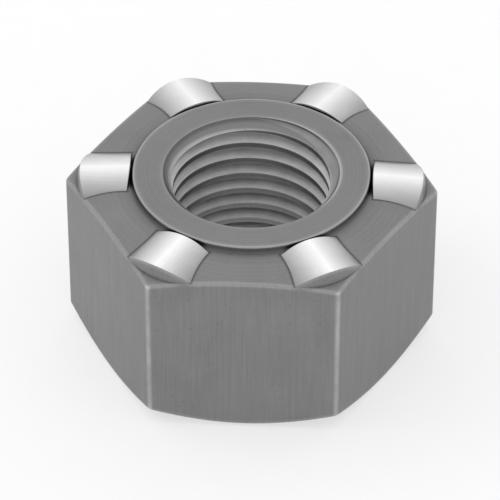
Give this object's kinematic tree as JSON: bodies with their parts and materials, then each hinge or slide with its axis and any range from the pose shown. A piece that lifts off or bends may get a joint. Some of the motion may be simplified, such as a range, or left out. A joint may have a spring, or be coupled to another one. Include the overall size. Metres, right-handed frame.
{
  "type": "hex weld nut",
  "caption": "Hexagonal steel weld nut with a threaded through bore, a washer face, and barrel-shaped weld projections on its corners.",
  "frame": {"origin": "centre of the plain bearing face, on the bore axis", "axes": "+Z along the bore axis, from the plain face to the weld projections; corners on +X and every 60 degrees, flats facing +Y and -Y"},
  "size_m": [0.02, 0.0174, 0.0107],
  "materials": {
    "steel": "plain uncoated cold-formed steel, fine forming marks, projections burnished bright"
  },
  "bodies": {
    "root": {"weld_nut": "steel"}
  },
  "joints": []
}
